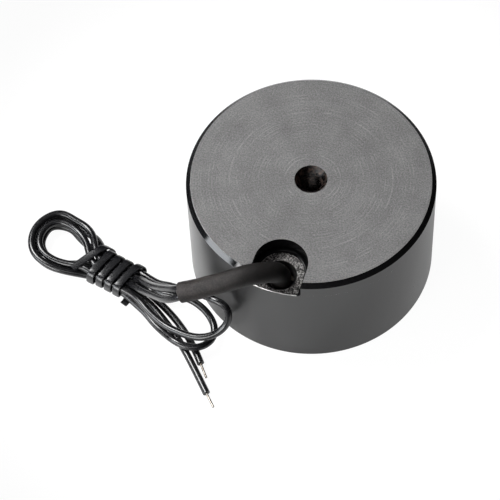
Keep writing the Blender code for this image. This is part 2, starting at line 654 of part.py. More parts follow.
def build():
    clear_scene()
    magnet = new_collection("holding_electromagnet")
    cutters = new_collection("cutters")
    steel = material("blackened_steel", (0.045, 0.045, 0.048), 0.35, 0.6)
    nylon = material("nylon", (0.75, 0.72, 0.62), 0.5)
    copper = material("enamelled_copper", (0.55, 0.2, 0.08), 0.35, 0.9)
    tape = material("polyester_tape", (0.75, 0.6, 0.12), 0.4)
    resin = material("epoxy_resin", (0.02, 0.02, 0.02), 0.35)
    shrink = material("heat_shrink", (0.055, 0.05, 0.05), 0.7)
    lead_black = material("lead_insulation", (0.02, 0.02, 0.022), 0.3)
    glass_fibre = material("splice_tube", (0.6, 0.58, 0.5), 0.6)
    tinned = material("tinned_copper", (0.6, 0.58, 0.55), 0.35, 1.0)
    strip = material("tie_plastic", (0.02, 0.02, 0.022), 0.3)
    build_housing(steel, magnet, cutters)
    build_bobbin(nylon, magnet, cutters)
    build_coil(copper, tape, resin, magnet)
    build_splice(1, LEAD_1_INSIDE, 1, glass_fibre, copper, magnet)
    build_splice(2, LEAD_2_INSIDE, -1, glass_fibre, copper, magnet)
    build_lead(1, LEAD_1_INSIDE, LEAD_1_FALL, LEAD_1_HANK, 1, lead_black, tinned, magnet)
    build_lead(2, LEAD_2_INSIDE, LEAD_2_FALL, LEAD_2_HANK, -1, lead_black, tinned, magnet)
    build_sleeve(shrink, magnet)
    build_tie(strip, magnet)
    for obj in magnet.objects:
        shade(obj)


build()
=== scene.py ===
"""Looks of a round holding electromagnet that stands on its pole face, with its two leads tied in a hank.

Sizes are in millimetres unless a line says otherwise, and MM brings them to metres. The origin is the
middle of the pole face, +Z goes up through the fixing hole, and the cable slot opens towards -Y.
"""
from math import acos, atan2, cos, pi, radians, sin

import bmesh
import bpy
import numpy as np
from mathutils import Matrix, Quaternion, Vector


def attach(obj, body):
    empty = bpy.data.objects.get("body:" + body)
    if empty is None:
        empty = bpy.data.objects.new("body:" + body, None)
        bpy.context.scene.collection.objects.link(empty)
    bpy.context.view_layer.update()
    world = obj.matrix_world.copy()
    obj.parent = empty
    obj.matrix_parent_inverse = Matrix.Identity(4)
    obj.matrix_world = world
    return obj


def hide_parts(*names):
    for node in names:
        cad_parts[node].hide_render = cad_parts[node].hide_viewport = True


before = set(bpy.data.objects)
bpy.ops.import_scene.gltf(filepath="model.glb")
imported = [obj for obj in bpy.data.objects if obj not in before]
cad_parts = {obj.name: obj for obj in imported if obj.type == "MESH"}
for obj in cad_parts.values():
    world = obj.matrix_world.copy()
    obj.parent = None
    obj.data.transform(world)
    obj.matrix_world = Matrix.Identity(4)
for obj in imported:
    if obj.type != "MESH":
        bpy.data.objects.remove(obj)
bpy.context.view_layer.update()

# The photographer's camera: a long lens half a metre away, above and a little to the right of the slot.
# Its place and turn come from the ellipses of the magnet's two edges and of its fixing hole.
MM = 0.001

camera_data = bpy.data.cameras.new("camera")
camera_data.sensor_width = 36.0
camera_data.lens = 173.2
camera_data.clip_start = 0.01
camera_data.clip_end = 20.0
camera = bpy.data.objects.new("camera", camera_data)
camera.location = (78.39 * MM, -251.70 * MM, 427.35 * MM)
camera.rotation_euler = (radians(31.686), radians(1.538), radians(17.605))
bpy.context.scene.collection.objects.link(camera)
bpy.context.scene.camera = camera
bpy.context.scene.view_settings.view_transform = "Standard"

# The two leads: light-gauge stranded copper in glossy black PVC, extruded round and 1.5 mm thick. Each runs
# from its splice in the coil chamber up through the sleeve to the tie, round the left loop, round its right
# loop, round the left loop once more underneath, and out to its bare end on the table.
LEAD_RADIUS = 0.75
LEAD_ROWS = 560
LEAD_SIDES = 18
LEAD_SPREAD = 0.81
PLACES_IN_SLEEVE = 13
SIDE_PLANE = (0.16, -0.53, 0.83)
CUT_DEPTH = 0.25

# Where the routes are measured from: the back face, the axis of the cable hole and the top of the hank
BODY_HEIGHT = 27.0
CABLE_HOLE_PLACE = 21.0
TOP_LAYER = 3.0

# Stations of the sleeve are measured from the axis of the cable hole and from the back face. Stations of the
# leads inside the coil chamber are places of the magnet. Outside it they are measured from the axis of the
# cable hole and up from the table, and in the fall, from the sleeve's end to the hank, the height is a share
# of the whole fall.
SLEEVE_ROUTE = [
    (0.1, -0.2, -5.7), (0.2, -0.4, -3.4), (-0.4, -1.3, -0.8), (-3.1, -3.5, 1.1), (-6.2, -5.5, 1.4),
    (-9.0, -6.8, 0.3), (-11.7, -7.7, -1.0), (-14.5, -8.6, -2.3), (-17.4, -9.4, -3.6)]
LEAD_1_INSIDE = [
    (7.6, -17.4, 18.75), (5.4, -18.5, 18.7), (3.4, -19.4, 18.8), (1.8, -20.3, 19.6)]
LEAD_1_FALL = [
    (-20.6, -7.7, 0.858), (-23.96, -5.41, 0.627), (-27.1, -2.59, 0.382), (-29.79, 0.05, 0.186),
    (-31.69, 1.94, 0.034)]
LEAD_1_HANK = [
    (-32.9, 2.4, 3.05), (-36.5, 3.3, 3.0), (-40.3, 4.3, 3.0), (-42.40, 6.41, 3.2), (-44.30, 9.69, 2.8),
    (-46.78, 11.65, 2.5), (-49.07, 12.39, 2.5), (-52.39, 13.08, 2.5), (-54.98, 11.46, 2.5),
    (-56.45, 8.39, 2.5), (-56.23, 4.97, 2.5), (-54.29, 2.09, 2.5), (-50.84, 0.48, 2.5),
    (-47.93, 0.17, 2.3), (-45.48, 0.46, 1.95), (-43.4, 0.88, 1.5), (-41.1, 1.0, 1.3), (-37.3, 0.0, 1.3),
    (-33.8, -0.9, 1.3), (-31.68, -1.91, 1.1), (-28.47, -3.58, 0.8), (-25.59, -5.63, 0.8),
    (-22.36, -7.77, 1.6), (-19.5, -9.31, 2.5), (-16.99, -9.7, 2.6), (-14.82, -9.16, 2.6),
    (-13.34, -7.61, 2.4), (-12.84, -5.7, 2.2), (-13.33, -3.59, 2.3), (-14.73, -1.85, 2.6),
    (-16.58, -0.6, 3.0), (-19.39, 0.47, 3.2), (-22.49, 0.77, 3.1), (-25.53, 0.81, 2.6),
    (-27.91, 1.71, 2.0), (-30.67, 3.37, 1.5), (-32.5, 4.0, 1.3), (-36.1, 4.9, 1.3), (-39.9, 5.9, 1.3),
    (-42.21, 6.58, 1.2), (-44.75, 8.04, 0.8), (-47.33, 9.55, 0.8), (-49.33, 10.8, 0.8),
    (-51.87, 11.06, 0.8), (-53.88, 10.21, 0.8), (-54.62, 8.2, 0.8), (-54.4, 5.86, 0.8),
    (-52.85, 3.77, 0.8), (-50.0, 2.7, 0.8), (-46.99, 2.92, 0.8), (-44.53, 3.85, 0.8), (-42.39, 4.43, 1.2),
    (-40.3, 4.3, 1.3), (-36.5, 3.3, 1.3), (-32.9, 2.4, 1.3), (-29.38, 1.01, 0.9), (-27.1, -0.13, 0.8),
    (-22.5, -2.92, 0.8), (-18.34, -6.33, 0.8), (-16.76, -7.92, 0.8), (-15.11, -9.8, 0.8),
    (-13.59, -11.75, 0.8)]
LEAD_2_INSIDE = [
    (-7.6, -17.4, 18.75), (-5.4, -18.4, 18.7), (-3.3, -19.4, 18.8), (-1.7, -20.4, 19.6)]
LEAD_2_FALL = [
    (-20.0, -9.6, 0.824), (-23.35, -7.24, 0.598), (-26.72, -4.3, 0.363), (-29.99, -1.55, 0.157),
    (-32.1, 0.27, 0.034)]
LEAD_2_HANK = [
    (-33.3, 0.7, 3.05), (-36.9, 1.7, 3.0), (-40.7, 2.6, 3.0), (-42.98, 4.50, 3.0), (-44.90, 7.48, 2.8),
    (-47.17, 9.63, 2.5), (-49.39, 10.76, 2.5), (-51.84, 11.09, 2.5), (-53.82, 9.94, 2.5),
    (-54.8, 7.87, 2.5), (-54.65, 5.46, 2.5), (-53.19, 3.33, 2.5), (-50.37, 2.05, 2.5),
    (-47.58, 1.77, 2.6), (-45.28, 1.86, 2.8), (-43.38, 1.65, 3.0), (-41.1, 1.0, 3.0), (-37.3, 0.0, 3.0),
    (-33.8, -0.9, 3.0), (-31.01, -1.66, 2.6), (-28.08, -3.53, 2.5), (-25.19, -5.27, 2.5),
    (-22.45, -6.51, 2.7), (-19.91, -7.31, 3.2), (-17.44, -7.85, 3.8), (-15.04, -7.98, 4.5),
    (-12.72, -7.44, 5.4), (-10.76, -6.33, 6.8), (-9.75, -5.11, 8.7), (-9.8, -4.19, 10.5),
    (-10.86, -3.46, 11.8), (-12.94, -2.96, 12.1), (-15.84, -1.68, 10.5), (-19.33, -0.23, 8.1),
    (-22.42, 0.84, 6.2), (-24.81, 1.41, 5.2), (-27.13, 1.83, 4.3), (-30.51, 3.31, 3.3), (-32.5, 4.0, 3.0),
    (-36.1, 4.9, 3.0), (-39.9, 5.9, 3.0), (-41.74, 7.86, 2.4), (-44.17, 10.29, 1.0), (-46.9, 11.35, 0.8),
    (-48.95, 12.51, 0.8), (-52.22, 12.97, 0.8), (-54.96, 11.5, 0.8), (-56.31, 8.56, 0.8),
    (-55.96, 5.32, 0.8), (-53.9, 2.5, 0.8), (-50.4, 1.1, 0.8), (-47.36, 1.16, 0.8), (-44.86, 1.94, 0.8),
    (-42.91, 2.67, 1.15), (-40.7, 2.6, 1.3), (-36.9, 1.7, 1.3), (-33.3, 0.7, 1.3), (-29.97, -0.53, 0.9),
    (-27.1, -2.0, 0.8), (-24.58, -3.78, 0.8), (-19.82, -7.68, 0.8), (-15.53, -12.09, 0.8),
    (-13.38, -14.47, 0.8), (-10.34, -17.9, 0.8)]


# How finely a route is followed, how near places are merged, and the shortest edge that a mesh keeps
FINE_STEPS = 8000
MEETING_DISTANCE = 0.0005
LEAST_EDGE = 0.0001


class Reading:
    """What one socket of a finish's nodes gives at each place of a surface.

    An expression on readings and numbers adds the Math nodes that work it out.
    """

    def __init__(self, tree, socket):
        self.tree = tree
        self.socket = socket

    def node(self, kind, settings=(), inputs=(), output=0):
        """Adds a node: its settings first, then a value or a reading for each of its named sockets."""
        made = self.tree.nodes.new(kind)
        for name, value in dict(settings).items():
            setattr(made, name, value)
        for name, value in dict(inputs).items():
            if isinstance(value, Reading):
                self.tree.links.new(value.socket, made.inputs[name])
            else:
                made.inputs[name].default_value = value
        return Reading(self.tree, made.outputs[output])

    def maths(self, operation, *values):
        return self.node("ShaderNodeMath", {"operation": operation}, dict(enumerate(values)))

    def __add__(self, other):
        return self.maths("ADD", self, other)

    def __radd__(self, other):
        return self.maths("ADD", other, self)

    def __rsub__(self, other):
        return self.maths("SUBTRACT", other, self)

    def __mul__(self, other):
        return self.maths("MULTIPLY", self, other)

    def __rmul__(self, other):
        return self.maths("MULTIPLY", other, self)

    def __pow__(self, other):
        return self.maths("POWER", self, other)

    def between(self, low, high):
        """0 below the low value, 1 above the high one, and smooth in between."""
        return self.node("ShaderNodeMapRange", {"interpolation_type": "SMOOTHSTEP"},
                         {"Value": self, "From Min": low, "From Max": high})

    def tint(self, first, second):
        """The first colour where this is 0 and the second where it is 1."""
        return self.node("ShaderNodeMix", {"data_type": "RGBA"},
                         {0: self, 6: (*first, 1.0), 7: (*second, 1.0)}, 2)

    def axis(self, number):
        """X, Y or Z of a place, for 0, 1 or 2."""
        return self.node("ShaderNodeSeparateXYZ", (), {0: self}, number)

    def stretched(self, x, y, z):
        """A place with each of its directions multiplied."""
        return self.node("ShaderNodeVectorMath", {"operation": "MULTIPLY"}, {0: self, 1: (x, y, z)})

    def from_axis(self):
        """How far a place is from the magnet's axis."""
        x, y = self.axis(0), self.axis(1)
        return (x * x + y * y) ** 0.5

    def noise(self, scale, detail=2.0, roughness=0.5):
        """Cloudy noise at this place, with so many clouds to a millimetre."""
        return self.node("ShaderNodeTexNoise", (),
                         {"Vector": self, "Scale": scale, "Detail": detail, "Roughness": roughness})

    def bumps(self, height):
        """The surface's direction where this reading raises it by up to the height, in millimetres."""
        return self.node("ShaderNodeBump", (), {"Height": self, "Distance": height * MM})


class Finish:
    """A material with one Principled shader whose readings start from the place on the object."""

    def __init__(self, name, **constants):
        self.material = bpy.data.materials.new(name)
        self.material.use_nodes = True
        tree = self.material.node_tree
        self.shader = tree.nodes["Principled BSDF"]
        self.set(**constants)
        coordinates = Reading(tree, None).node("ShaderNodeTexCoord", output=3)
        self.place = coordinates.stretched(1 / MM, 1 / MM, 1 / MM)
        self.along = Reading(tree, None).node("ShaderNodeTexCoord", output=2)

    def set(self, **sockets):
        """Puts a value or a reading on each named socket of the shader."""
        for name, value in sockets.items():
            socket = self.shader.inputs[name.replace("_", " ")]
            if isinstance(value, Reading):
                value.tree.links.new(value.socket, socket)
            elif hasattr(value, "__len__"):
                socket.default_value = (*value, 1.0)
            else:
                socket.default_value = value


def unit(vectors):
    """Each vector at length one."""
    return vectors / np.linalg.norm(vectors, axis=-1, keepdims=True)


def length_along(line):
    """The length of a line from its start to each of its points."""
    return np.concatenate(([0.0], np.cumsum(np.linalg.norm(np.diff(line, axis=0), axis=1))))


def smooth_line(stations, count):
    """A natural cubic through the stations, with its knots at the square roots of their distances, read
    at even steps of its length."""
    knots = np.array(stations, dtype=float)
    spans = np.linalg.norm(np.diff(knots, axis=0), axis=1) ** 0.5
    places = np.concatenate(([0.0], np.cumsum(spans)))
    system = np.eye(len(knots))
    target = np.zeros_like(knots)
    for i in range(1, len(knots) - 1):
        system[i, i - 1:i + 2] = spans[i - 1], 2 * (spans[i - 1] + spans[i]), spans[i]
        target[i] = 6 * ((knots[i + 1] - knots[i]) / spans[i] - (knots[i] - knots[i - 1]) / spans[i - 1])
    bend = np.linalg.solve(system, target)
    fine = np.linspace(0.0, places[-1], FINE_STEPS)
    k = np.clip(np.searchsorted(places, fine, side="right") - 1, 0, len(spans) - 1)
    u = ((places[k + 1] - fine) / spans[k])[:, None]
    v = 1 - u
    width = spans[k][:, None] ** 2 / 6
    line = u * knots[k] + v * knots[k + 1] + ((u ** 3 - u) * bend[k] + (v ** 3 - v) * bend[k + 1]) * width
    travelled = length_along(line)
    even = np.linspace(0.0, travelled[-1], count)
    return np.stack([np.interp(even, travelled, line[:, axis]) for axis in range(3)], axis=1)


def across_line(line):
    """Two unit directions across a line at each of its points. The first starts as near as it can to
    straight up, and each point's is the last one's, squared to the line."""
    along = unit(np.gradient(line, axis=0))
    across = np.empty_like(along)
    carried = np.array((0.0, 0.0, 1.0))
    for i, ahead in enumerate(along):
        carried = unit(carried - ahead * np.dot(carried, ahead))
        across[i] = carried
    return across, np.cross(along, across)


def carried_round(line, radius, sides):
    """Places of a circle carried along a line: the line plus the radius times the cosine of the angle
    along one direction across it and the sine along the other."""
    across, other = across_line(line)
    angle = np.linspace(0.0, 2 * pi, sides + 1)
    radius = np.broadcast_to(radius, (len(line), sides + 1))
    ring = np.cos(angle)[None, :, None] * across[:, None] + np.sin(angle)[None, :, None] * other[:, None]
    return line[:, None] + radius[:, :, None] * ring


def shrunk_to(centre, ring, shares):
    """A patch of copies of a ring of places, each at a share of their distance from the centre."""
    return centre + (ring - centre) * np.array(shares)[:, None, None]


def joined(name, patches, finishes, crisp=35.0):
    """One closed mesh from patches. A patch is a grid of places in rows and columns, with the number of
    its finish and, where its pattern follows the surface, a grid of two coordinates. Places that meet are
    merged, the faces are turned outwards, and edges sharper than the angle stay crisp."""
    points, faces, numbers, charts = [], [], [], []
    start = 0
    for patch in patches:
        grid, number = patch[0], patch[1]
        rows, columns = grid.shape[:2]
        index = start + np.arange(rows * columns).reshape(rows, columns)
        quads = np.stack((index[:-1, :-1], index[1:, :-1], index[1:, 1:], index[:-1, 1:]), axis=-1)
        chart = patch[2] if len(patch) > 2 else np.zeros((rows, columns, 2))
        points.append(grid.reshape(-1, 3))
        charts.append(chart.reshape(-1, 2))
        faces.append(quads.reshape(-1, 4))
        numbers.append(np.full(quads.shape[0] * quads.shape[1], number))
        start += rows * columns
    faces = np.concatenate(faces)
    mesh = bpy.data.meshes.new(name)
    mesh.from_pydata(np.concatenate(points) * MM, [], faces.tolist())
    mesh.polygons.foreach_set("material_index", np.concatenate(numbers).astype(np.int32))
    layer = mesh.uv_layers.new(name="chart")
    layer.data.foreach_set("uv", np.concatenate(charts)[faces.reshape(-1)].reshape(-1))
    shape = bmesh.new()
    shape.from_mesh(mesh)
    bmesh.ops.remove_doubles(shape, verts=shape.verts, dist=MEETING_DISTANCE * MM)
    bmesh.ops.dissolve_degenerate(shape, edges=shape.edges, dist=LEAST_EDGE * MM)
    bmesh.ops.recalc_face_normals(shape, faces=shape.faces)
    shape.to_mesh(mesh)
    shape.free()
    mesh.shade_smooth()
    mesh.set_sharp_from_angle(angle=radians(crisp))
    for finish in finishes:
        mesh.materials.append(finish.material)
    piece = bpy.data.objects.new(name, mesh)
    bpy.context.scene.collection.objects.link(piece)
    return piece


def beside(line, distance):
    """A line that keeps to one side of another, in a plane that leans back from the viewer."""
    return line + distance * unit(np.cross(np.gradient(line, axis=0), SIDE_PLANE))


def from_cable_hole(stations, level=0.0):
    """Stations measured from the axis of the cable hole and from a level, as places of the magnet."""
    return [(x, y - CABLE_HOLE_PLACE, level + height) for x, y, height in stations]


def falling(stations):
    """Stations of the fall, whose heights are shares of it."""
    drop = BODY_HEIGHT + SLEEVE_ROUTE[-1][2] - TOP_LAYER
    return from_cable_hole([(x, y, TOP_LAYER + share * drop) for x, y, share in stations])


sleeve_line = from_cable_hole(SLEEVE_ROUTE, BODY_HEIGHT)

black_pvc = Finish("black_pvc", Roughness=0.27, IOR=1.5)
cloud = black_pvc.place.noise(0.9, 3.0)
scuff = black_pvc.along.stretched(1.0, 26.0, 1.0).noise(3.0, 4.0, 0.65)
black_pvc.set(
    Base_Color=scuff.between(0.35, 0.8).tint((0.004, 0.004, 0.0048), (0.010, 0.010, 0.011)),
    Roughness=0.14 + 0.12 * cloud + 0.10 * scuff,
    Normal=(0.4 * scuff + 0.6 * black_pvc.place.noise(4.0, 2.0)).bumps(0.008))

lead_lines = {}
for number, inside, fall, hank, side in ((1, LEAD_1_INSIDE, LEAD_1_FALL, LEAD_1_HANK, 1),
                                         (2, LEAD_2_INSIDE, LEAD_2_FALL, LEAD_2_HANK, -1)):
    through_sleeve = beside(smooth_line(sleeve_line, PLACES_IN_SLEEVE), side * LEAD_SPREAD)
    stations = inside + list(through_sleeve) + falling(fall) + from_cable_hole(hank)
    line = smooth_line(stations, LEAD_ROWS)
    travelled = length_along(line)
    lead_lines[number] = line
    grid = carried_round(line, LEAD_RADIUS, LEAD_SIDES)
    grid[:, :, 2] = np.maximum(grid[:, :, 2], 0.0)
    turn = np.linspace(0.0, 2 * pi * LEAD_RADIUS, LEAD_SIDES + 1)
    chart = np.stack(np.broadcast_arrays(travelled[:, None], turn[None]), axis=-1)
    splice_end = shrunk_to(line[0], grid[0], (0.0, 0.85, 1.0))
    cut = shrunk_to(line[-1], grid[-1], (1.0, 0.93, 0.42, 0.38, 0.0))
    cut[3:] += CUT_DEPTH * unit(line[-2] - line[-1])
    patches = [(splice_end, 0), (grid, 0, chart), (cut, 0)]
    lead = joined(f"black_lead_{number}", patches, [black_pvc])
    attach(lead, "root")
    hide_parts(f"lead_{number}")

# The bare ends: seven fine copper strands twisted together and tinned, cut square. Six of them show, twisted
# round the seventh.
CONDUCTOR_RADIUS = 0.25
BARE_LENGTH = 3.2
BARE_ROWS = 34
BARE_SIDES = 48
SEAT_GAP = 0.3
SEAT_DEPTH = 0.15
STRAND_TWIST = 1.9

tinned = Finish("tinned_copper", Metallic=1.0, Roughness=0.3)
worn = tinned.place.noise(5.0, 3.0)
tinned.set(Base_Color=worn.between(0.42, 0.66).tint((0.27, 0.26, 0.24), (0.17, 0.13, 0.10)),
           Roughness=0.24 + 0.25 * worn)
for number, line in lead_lines.items():
    ahead = unit(line[-1] - line[-2])
    reach = np.linspace(0.25, SEAT_GAP + BARE_LENGTH, BARE_ROWS)
    reach[0] = -SEAT_DEPTH
    core = line[-1] + reach[:, None] * ahead
    angle = np.linspace(0.0, 2 * pi, BARE_SIDES + 1)[None]
    twist = 2 * pi * reach[:, None] / STRAND_TWIST
    lobes = CONDUCTOR_RADIUS * (0.82 + 0.10 * np.abs(np.cos(3 * (angle + twist))) ** 0.7)
    grid = carried_round(core, lobes, BARE_SIDES)
    root = shrunk_to(core[0], grid[0], (0.0, 1.0))
    tip = shrunk_to(core[-1], grid[-1], (1.0, 0.7, 0.0))
    tip[2] += 0.05 * ahead
    bare = joined(f"bare_end_{number}", [(root, 0), (grid, 0), (tip, 0)], [tinned], 60.0)
    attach(bare, "root")
    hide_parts(f"lead_{number}_conductor")

# The sleeve: polyolefin tube shrunk over both leads, matt and slightly brown, cut with scissors. It lies
# over the rim of the slot, and its far end shows the tube's wall and the leads coming out.
SLEEVE_RADIUS = 2.1
SLEEVE_WALL = 0.35
SLEEVE_ROWS = 130
SLEEVE_SIDES = 48

shrunk = Finish("shrunk_tube", Roughness=0.62, Specular_IOR_Level=0.28)
grain = shrunk.place.noise(3.2, 4.0, 0.6)
dust = shrunk.place.noise(0.45, 3.0)
# Painted shade: the sleeve's colour darkens towards the cable hole, where it lies in the slot's shadow; grain
# and dust are its own
painted_slot_shade = shrunk.place.axis(0).between(-13.0, -2.0)
dust_and_slot_shade = (0.8 * grain + 0.4 * dust).between(0.42, 0.80) * (1 - 0.85 * painted_slot_shade)
shrunk.set(Base_Color=dust_and_slot_shade.tint((0.004, 0.0035, 0.0034), (0.028, 0.023, 0.0215)),
           Roughness=0.52 + 0.2 * grain,
           Normal=(grain + 0.5 * shrunk.place.noise(9.0, 2.0)).bumps(0.07))
cut_edge = Finish("cut_tube_edge", Roughness=0.6)
cut_edge.set(Base_Color=cut_edge.place.noise(4.0, 3.0).tint((0.03, 0.028, 0.027), (0.11, 0.10, 0.10)))

line = smooth_line(sleeve_line, SLEEVE_ROWS)
share = np.linspace(0.0, 1.0, SLEEVE_ROWS)[:, None]
angle = np.linspace(0.0, 2 * pi, SLEEVE_SIDES + 1)[None]
ripple = (0.022 * np.sin(2 * angle + 9.0 * share)
          + 0.016 * np.sin(3 * angle - 21.0 * share + 1.0)
          + 0.012 * np.sin(37.0 * share + 2 * np.sin(angle))
          + 0.010 * np.sin(71.0 * share + 3 * np.cos(angle)))
outer = carried_round(line, SLEEVE_RADIUS + ripple - 0.03, SLEEVE_SIDES)
inner = carried_round(line, SLEEVE_RADIUS - SLEEVE_WALL + 0.5 * ripple, SLEEVE_SIDES)
near_edge = np.stack((inner[0], outer[0]))
inwards = np.array((0.0, 0.25, 0.75, 1.0))[:, None, None]
far_edge = inwards * inner[-1] + (1 - inwards) * outer[-1]
far_edge[1:3] += 0.04 * unit(line[-1] - line[-2])
sleeve = joined("shrunk_sleeve", [(near_edge, 1), (outer, 0), (far_edge, 1), (inner[::-1], 0)],
                [shrunk, cut_edge], 50.0)
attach(sleeve, "root")
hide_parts("heat_shrink_sleeve")

# The tie: a flat strip of soft black plastic, wound four times round the doubled-up leads by hand. Its first
# end sticks out underneath, and its last one crosses the left loop.
STRIP_WIDTH = 1.6
STRIP_THICKNESS = 0.35
STRIP_GAP = 0.12
STRIP_PITCH = 2.1
STRIP_TURNS = 4
STRIP_STEPS = 56
STRIP_END_STEPS = 80
STRIP_SIDES = 24
STRIP_CORNER_RADIUS = 1.14
STRIP_FIRST = 4.5
STRIP_END_SLACK = 0.35
STRIP_TOP_BOW = 0.3
STRIP_SIDE_BOW = 0.15
TIE_PLACE = (-37.2, -18.4)
TIE_HEADING = radians(-14.5)
LANE = 1.68
LOW_LAYER = 1.3
STRIP_START = [
    (5.1, 4.35, 0.4), (5.15, 3.2, 0.25), (4.7, 1.6, 0.2), (4.5, -0.8, 0.2), (4.5, -2.7, 0.25),
    (4.55, -3.9, 0.8), (4.55, -4.25, 2.0), (4.4, -3.9, 3.4), (4.0, -2.6, 4.3)]
STRIP_END = [
    (-3.9, -2.8, 0.25), (-3.6, -4.4, 0.7), (-3.55, -4.8, 1.5), (-3.7, -4.5, 2.6), (-4.1, -3.9, 3.6),
    (-4.8, -2.5, 4.3), (-5.6, -0.7, 4.25), (-6.3, 1.1, 4.05), (-6.8, 2.5, 3.95), (-7.3, 4.2, 3.85)]


def strip_section(turn):
    """Across and height of the strip's middle at each share of a turn, on a rounded rectangle round the
    strands: four straight legs joined by quarter circles, walked from under the middle of the hank. The
    sides and the top then bow out by a parabola."""
    slack = STRIP_END_SLACK * np.abs(2 * turn / STRIP_TURNS - 1) ** 4
    play = STRIP_GAP + STRIP_THICKNESS / 2
    flat = 1.5 * LANE + LEAD_RADIUS + play + slack - STRIP_CORNER_RADIUS
    upright = (TOP_LAYER - LOW_LAYER + slack) / 2 + LEAD_RADIUS + play - STRIP_CORNER_RADIUS
    quarter = pi / 2 * STRIP_CORNER_RADIUS
    distance = (turn % 1.0) * 4 * (flat + upright + quarter)
    heading = np.full_like(turn, pi)
    across = np.zeros_like(turn)
    height = -upright - STRIP_CORNER_RADIUS
    legs = (flat, None, 2 * upright, None, 2 * flat, None, 2 * upright, None, flat)
    for leg in legs:
        step = np.clip(distance, 0.0, quarter if leg is None else leg)
        if leg is None:
            turned = heading - step / STRIP_CORNER_RADIUS
            across = across + STRIP_CORNER_RADIUS * (np.sin(heading) - np.sin(turned))
            height = height - STRIP_CORNER_RADIUS * (np.cos(heading) - np.cos(turned))
            heading = turned
        else:
            across = across + step * np.cos(heading)
            height = height + step * np.sin(heading)
        distance = distance - step
    half_width = flat + STRIP_CORNER_RADIUS
    side_bow = STRIP_SIDE_BOW * (1 - (height / (upright + STRIP_CORNER_RADIUS)) ** 2)
    top_bow = np.where(height > 0, STRIP_TOP_BOW * (1 - (across / half_width) ** 2), 0.0)
    return across * (1 + side_bow / half_width), height + (TOP_LAYER + LOW_LAYER + slack) / 2 + top_bow


def from_hank(points):
    """Places along the hank, across it towards the viewer and up, as places on the table."""
    along, away, height = np.asarray(points, dtype=float).T
    return np.stack((TIE_PLACE[0] + along * cos(TIE_HEADING) + away * sin(TIE_HEADING),
                     TIE_PLACE[1] + along * sin(TIE_HEADING) - away * cos(TIE_HEADING), height), axis=1)


tie_plastic = Finish("tie_plastic", Roughness=0.33)
streak = tie_plastic.along.stretched(0.35, 3.0, 1.0).noise(2.0, 3.0)
tie_plastic.set(
    Base_Color=streak.between(0.3, 0.8).tint((0.004, 0.004, 0.005), (0.011, 0.011, 0.0125)),
    Roughness=0.18 + 0.14 * streak,
    Normal=(0.5 * streak + 0.5 * tie_plastic.place.noise(3.0, 2.0)).bumps(0.012))

steps = STRIP_TURNS * STRIP_STEPS
turn = np.arange(STRIP_STEPS // 2, steps + 1) / STRIP_STEPS
across, height = strip_section(turn)
wound = from_hank(np.stack((STRIP_FIRST - STRIP_PITCH * turn, across, height), axis=1))
stations = np.concatenate((from_hank(STRIP_START), wound, from_hank(STRIP_END)))
line = smooth_line(stations, steps + STRIP_END_STEPS)
axis = np.array((cos(TIE_HEADING), sin(TIE_HEADING), 0.0))
ahead = unit(np.gradient(line, axis=0))
wide = unit(axis - ahead * (ahead @ axis)[:, None])
thick = np.cross(ahead, wide)
corner = np.linspace(0.0, 2 * pi, STRIP_SIDES + 1)
reach = STRIP_WIDTH / 2 * np.sign(np.cos(corner)) * np.abs(np.cos(corner)) ** 0.55
depth = STRIP_THICKNESS / 2 * np.sign(np.sin(corner)) * np.abs(np.sin(corner)) ** 0.75
grid = line[:, None] + reach[None, :, None] * wide[:, None] + depth[None, :, None] * thick[:, None]
chart = np.stack(np.broadcast_arrays(length_along(line)[:, None], reach[None]), axis=-1)
first_cut = shrunk_to(line[0], grid[0], (0.0, 1.0))
last_cut = shrunk_to(line[-1], grid[-1], (1.0, 0.0))
tie = joined("wound_tie", [(first_cut, 0), (grid, 0, chart), (last_cut, 0)], [tie_plastic], 50.0)
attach(tie, "root")
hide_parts("wire_tie")

for number in (1, 2):
    lead = bpy.data.objects[f"black_lead_{number}"]

# The pot: one piece of mild steel, turned all over with its core left standing in the coil chamber, then
# milled for the slot, drilled for the leads and tapped M5 in the back. Its sides are blackened and glossy,
# its back face is turned and left grey, and its pole face is ground bright.
BODY_RADIUS = 25.0
BACK_CHAMFER = 0.88
POLE_CHAMFER = 0.4
CHAMBER_RADIUS = 21.5
CHAMBER_ROOF = 20.0
CORE_RADIUS = 10.5
MOUTH_CHAMFER = 0.3
MOUTH_HEIGHT = 1.5
EDGE_ROUND = 0.07
SLOT_HALF_WIDTH = 5.25
SLOT_END = 20.3
SLOT_FLOOR = 23.3
SLOT_FOOT = 0.7
SLOT_LIP = 0.1
CABLE_HOLE_RADIUS = 3.3
CABLE_HOLE_EDGE = 0.08
COUNTERSINK_RADIUS = 3.2
COUNTERSINK_EDGE = 0.07
THREAD_MINOR = 2.1
THREAD_MAJOR = 2.5
THREAD_PITCH = 0.8
THREAD_DEPTH = 9.0
HOLE_DEPTH = 10.0
FACE_MIDDLE = 13.0
RIM_COLUMNS = 129
SLOT_COLUMNS = 33
STRAIGHT_COLUMNS = 4
IN_HOLE = 21
FACE, BLACK, FLOOR, HOLE, THREAD, POLE, EDGE, SLOT = range(8)

